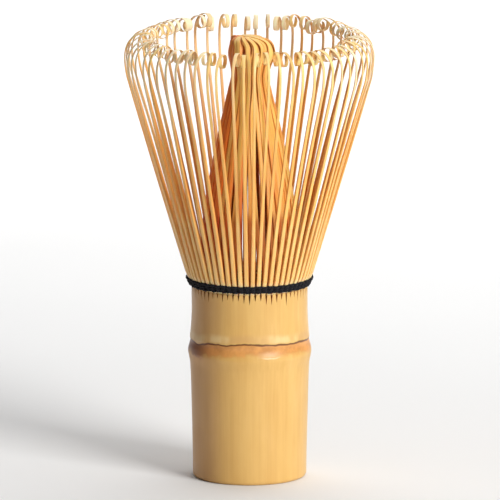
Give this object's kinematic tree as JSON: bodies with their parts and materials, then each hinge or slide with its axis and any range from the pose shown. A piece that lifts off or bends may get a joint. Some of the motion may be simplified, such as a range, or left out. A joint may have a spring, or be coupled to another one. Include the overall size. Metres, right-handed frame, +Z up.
{
  "type": "bamboo tea whisk",
  "caption": "Bamboo whisk for powdered tea: one culm split into an open outer cage of curled tines round a gathered inner bunch, over a plain handle, laced with dark thread.",
  "frame": {"origin": "centre of the handle's lower end, on the surface that the whisk stands on", "axes": "+Z up the handle's axis towards the tines; +X through the middle of the first outer segment"},
  "size_m": [0.0612, 0.0612, 0.1098],
  "materials": {
    "culm": "polished bamboo skin with fine long grain",
    "outer_tine": "split bamboo, satin outer skin and fibrous inner face",
    "inner_tine": "split bamboo, satin",
    "thread": "black twisted cotton thread"
  },
  "bodies": {
    "whisk_handle": {"handle": "culm", "thread_lower_course": "thread", "thread_middle_course": "thread", "thread_upper_course": "thread", "thread_between_rows": "thread"},
    "outer_segment_01": {"outer_tines_01": "outer_tine"},
    "outer_segment_02": {"outer_tines_02": "outer_tine"},
    "outer_segment_03": {"outer_tines_03": "outer_tine"},
    "outer_segment_04": {"outer_tines_04": "outer_tine"},
    "outer_segment_05": {"outer_tines_05": "outer_tine"},
    "outer_segment_06": {"outer_tines_06": "outer_tine"},
    "outer_segment_07": {"outer_tines_07": "outer_tine"},
    "outer_segment_08": {"outer_tines_08": "outer_tine"},
    "outer_segment_09": {"outer_tines_09": "outer_tine"},
    "outer_segment_10": {"outer_tines_10": "outer_tine"},
    "outer_segment_11": {"outer_tines_11": "outer_tine"},
    "outer_segment_12": {"outer_tines_12": "outer_tine"},
    "outer_segment_13": {"outer_tines_13": "outer_tine"},
    "outer_segment_14": {"outer_tines_14": "outer_tine"},
    "outer_segment_15": {"outer_tines_15": "outer_tine"},
    "outer_segment_16": {"outer_tines_16": "outer_tine"},
    "inner_segment_01": {"inner_tines_01": "inner_tine"},
    "inner_segment_02": {"inner_tines_02": "inner_tine"},
    "inner_segment_03": {"inner_tines_03": "inner_tine"},
    "inner_segment_04": {"inner_tines_04": "inner_tine"},
    "inner_segment_05": {"inner_tines_05": "inner_tine"},
    "inner_segment_06": {"inner_tines_06": "inner_tine"},
    "inner_segment_07": {"inner_tines_07": "inner_tine"},
    "inner_segment_08": {"inner_tines_08": "inner_tine"},
    "inner_segment_09": {"inner_tines_09": "inner_tine"},
    "inner_segment_10": {"inner_tines_10": "inner_tine"},
    "inner_segment_11": {"inner_tines_11": "inner_tine"},
    "inner_segment_12": {"inner_tines_12": "inner_tine"},
    "inner_segment_13": {"inner_tines_13": "inner_tine"},
    "inner_segment_14": {"inner_tines_14": "inner_tine"},
    "inner_segment_15": {"inner_tines_15": "inner_tine"},
    "inner_segment_16": {"inner_tines_16": "inner_tine"}
  },
  "joints": [
    {"name": "outer_flex_01", "type": "hinge", "parent": "whisk_handle", "child": "outer_segment_01", "pos_m": [0.0137, 0, 0.048], "axis": [0, 1, 0], "range_deg": [-2.5, 3.5], "stiffness_Nm_per_rad": 0.036},
    {"name": "outer_flex_02", "type": "hinge", "parent": "whisk_handle", "child": "outer_segment_02", "pos_m": [0.01266, 0.00524, 0.048], "axis": [-0.3827, 0.9239, 0], "range_deg": [-2.5, 3.5], "stiffness_Nm_per_rad": 0.036},
    {"name": "outer_flex_03", "type": "hinge", "parent": "whisk_handle", "child": "outer_segment_03", "pos_m": [0.00969, 0.00969, 0.048], "axis": [-0.7071, 0.7071, 0], "range_deg": [-2.5, 3.5], "stiffness_Nm_per_rad": 0.036},
    {"name": "outer_flex_04", "type": "hinge", "parent": "whisk_handle", "child": "outer_segment_04", "pos_m": [0.00524, 0.01266, 0.048], "axis": [-0.9239, 0.3827, 0], "range_deg": [-2.5, 3.5], "stiffness_Nm_per_rad": 0.036},
    {"name": "outer_flex_05", "type": "hinge", "parent": "whisk_handle", "child": "outer_segment_05", "pos_m": [0, 0.0137, 0.048], "axis": [-1, 0, 0], "range_deg": [-2.5, 3.5], "stiffness_Nm_per_rad": 0.036},
    {"name": "outer_flex_06", "type": "hinge", "parent": "whisk_handle", "child": "outer_segment_06", "pos_m": [-0.00524, 0.01266, 0.048], "axis": [-0.9239, -0.3827, 0], "range_deg": [-2.5, 3.5], "stiffness_Nm_per_rad": 0.036},
    {"name": "outer_flex_07", "type": "hinge", "parent": "whisk_handle", "child": "outer_segment_07", "pos_m": [-0.00969, 0.00969, 0.048], "axis": [-0.7071, -0.7071, 0], "range_deg": [-2.5, 3.5], "stiffness_Nm_per_rad": 0.036},
    {"name": "outer_flex_08", "type": "hinge", "parent": "whisk_handle", "child": "outer_segment_08", "pos_m": [-0.01266, 0.00524, 0.048], "axis": [-0.3827, -0.9239, 0], "range_deg": [-2.5, 3.5], "stiffness_Nm_per_rad": 0.036},
    {"name": "outer_flex_09", "type": "hinge", "parent": "whisk_handle", "child": "outer_segment_09", "pos_m": [-0.0137, 0, 0.048], "axis": [0, -1, 0], "range_deg": [-2.5, 3.5], "stiffness_Nm_per_rad": 0.036},
    {"name": "outer_flex_10", "type": "hinge", "parent": "whisk_handle", "child": "outer_segment_10", "pos_m": [-0.01266, -0.00524, 0.048], "axis": [0.3827, -0.9239, 0], "range_deg": [-2.5, 3.5], "stiffness_Nm_per_rad": 0.036},
    {"name": "outer_flex_11", "type": "hinge", "parent": "whisk_handle", "child": "outer_segment_11", "pos_m": [-0.00969, -0.00969, 0.048], "axis": [0.7071, -0.7071, 0], "range_deg": [-2.5, 3.5], "stiffness_Nm_per_rad": 0.036},
    {"name": "outer_flex_12", "type": "hinge", "parent": "whisk_handle", "child": "outer_segment_12", "pos_m": [-0.00524, -0.01266, 0.048], "axis": [0.9239, -0.3827, 0], "range_deg": [-2.5, 3.5], "stiffness_Nm_per_rad": 0.036},
    {"name": "outer_flex_13", "type": "hinge", "parent": "whisk_handle", "child": "outer_segment_13", "pos_m": [0, -0.0137, 0.048], "axis": [1, 0, 0], "range_deg": [-2.5, 3.5], "stiffness_Nm_per_rad": 0.036},
    {"name": "outer_flex_14", "type": "hinge", "parent": "whisk_handle", "child": "outer_segment_14", "pos_m": [0.00524, -0.01266, 0.048], "axis": [0.9239, 0.3827, 0], "range_deg": [-2.5, 3.5], "stiffness_Nm_per_rad": 0.036},
    {"name": "outer_flex_15", "type": "hinge", "parent": "whisk_handle", "child": "outer_segment_15", "pos_m": [0.00969, -0.00969, 0.048], "axis": [0.7071, 0.7071, 0], "range_deg": [-2.5, 3.5], "stiffness_Nm_per_rad": 0.036},
    {"name": "outer_flex_16", "type": "hinge", "parent": "whisk_handle", "child": "outer_segment_16", "pos_m": [0.01266, -0.00524, 0.048], "axis": [0.3827, 0.9239, 0], "range_deg": [-2.5, 3.5], "stiffness_Nm_per_rad": 0.036},
    {"name": "inner_flex_01", "type": "hinge", "parent": "whisk_handle", "child": "inner_segment_01", "pos_m": [0.01204, 0.00059, 0.048], "axis": [-0.0491, 0.9988, 0], "range_deg": [0, 5], "stiffness_Nm_per_rad": 0.012},
    {"name": "inner_flex_02", "type": "hinge", "parent": "whisk_handle", "child": "inner_segment_02", "pos_m": [0.01089, 0.00515, 0.048], "axis": [-0.4276, 0.904, 0], "range_deg": [0, 5], "stiffness_Nm_per_rad": 0.012},
    {"name": "inner_flex_03", "type": "hinge", "parent": "whisk_handle", "child": "inner_segment_03", "pos_m": [0.00809, 0.00893, 0.048], "axis": [-0.741, 0.6716, 0], "range_deg": [0, 5], "stiffness_Nm_per_rad": 0.012},
    {"name": "inner_flex_04", "type": "hinge", "parent": "whisk_handle", "child": "inner_segment_04", "pos_m": [0.00406, 0.01135, 0.048], "axis": [-0.9415, 0.3369, 0], "range_deg": [0, 5], "stiffness_Nm_per_rad": 0.012},
    {"name": "inner_flex_05", "type": "hinge", "parent": "whisk_handle", "child": "inner_segment_05", "pos_m": [-0.00059, 0.01204, 0.048], "axis": [-0.9988, -0.0491, 0], "range_deg": [0, 5], "stiffness_Nm_per_rad": 0.012},
    {"name": "inner_flex_06", "type": "hinge", "parent": "whisk_handle", "child": "inner_segment_06", "pos_m": [-0.00515, 0.01089, 0.048], "axis": [-0.904, -0.4276, 0], "range_deg": [0, 5], "stiffness_Nm_per_rad": 0.012},
    {"name": "inner_flex_07", "type": "hinge", "parent": "whisk_handle", "child": "inner_segment_07", "pos_m": [-0.00893, 0.00809, 0.048], "axis": [-0.6716, -0.741, 0], "range_deg": [0, 5], "stiffness_Nm_per_rad": 0.012},
    {"name": "inner_flex_08", "type": "hinge", "parent": "whisk_handle", "child": "inner_segment_08", "pos_m": [-0.01135, 0.00406, 0.048], "axis": [-0.3369, -0.9415, 0], "range_deg": [0, 5], "stiffness_Nm_per_rad": 0.012},
    {"name": "inner_flex_09", "type": "hinge", "parent": "whisk_handle", "child": "inner_segment_09", "pos_m": [-0.01204, -0.00059, 0.048], "axis": [0.0491, -0.9988, 0], "range_deg": [0, 5], "stiffness_Nm_per_rad": 0.012},
    {"name": "inner_flex_10", "type": "hinge", "parent": "whisk_handle", "child": "inner_segment_10", "pos_m": [-0.01089, -0.00515, 0.048], "axis": [0.4276, -0.904, 0], "range_deg": [0, 5], "stiffness_Nm_per_rad": 0.012},
    {"name": "inner_flex_11", "type": "hinge", "parent": "whisk_handle", "child": "inner_segment_11", "pos_m": [-0.00809, -0.00893, 0.048], "axis": [0.741, -0.6716, 0], "range_deg": [0, 5], "stiffness_Nm_per_rad": 0.012},
    {"name": "inner_flex_12", "type": "hinge", "parent": "whisk_handle", "child": "inner_segment_12", "pos_m": [-0.00406, -0.01135, 0.048], "axis": [0.9415, -0.3369, 0], "range_deg": [0, 5], "stiffness_Nm_per_rad": 0.012},
    {"name": "inner_flex_13", "type": "hinge", "parent": "whisk_handle", "child": "inner_segment_13", "pos_m": [0.00059, -0.01204, 0.048], "axis": [0.9988, 0.0491, 0], "range_deg": [0, 5], "stiffness_Nm_per_rad": 0.012},
    {"name": "inner_flex_14", "type": "hinge", "parent": "whisk_handle", "child": "inner_segment_14", "pos_m": [0.00515, -0.01089, 0.048], "axis": [0.904, 0.4276, 0], "range_deg": [0, 5], "stiffness_Nm_per_rad": 0.012},
    {"name": "inner_flex_15", "type": "hinge", "parent": "whisk_handle", "child": "inner_segment_15", "pos_m": [0.00893, -0.00809, 0.048], "axis": [0.6716, 0.741, 0], "range_deg": [0, 5], "stiffness_Nm_per_rad": 0.012},
    {"name": "inner_flex_16", "type": "hinge", "parent": "whisk_handle", "child": "inner_segment_16", "pos_m": [0.01135, -0.00406, 0.048], "axis": [0.3369, 0.9415, 0], "range_deg": [0, 5], "stiffness_Nm_per_rad": 0.012}
  ]
}
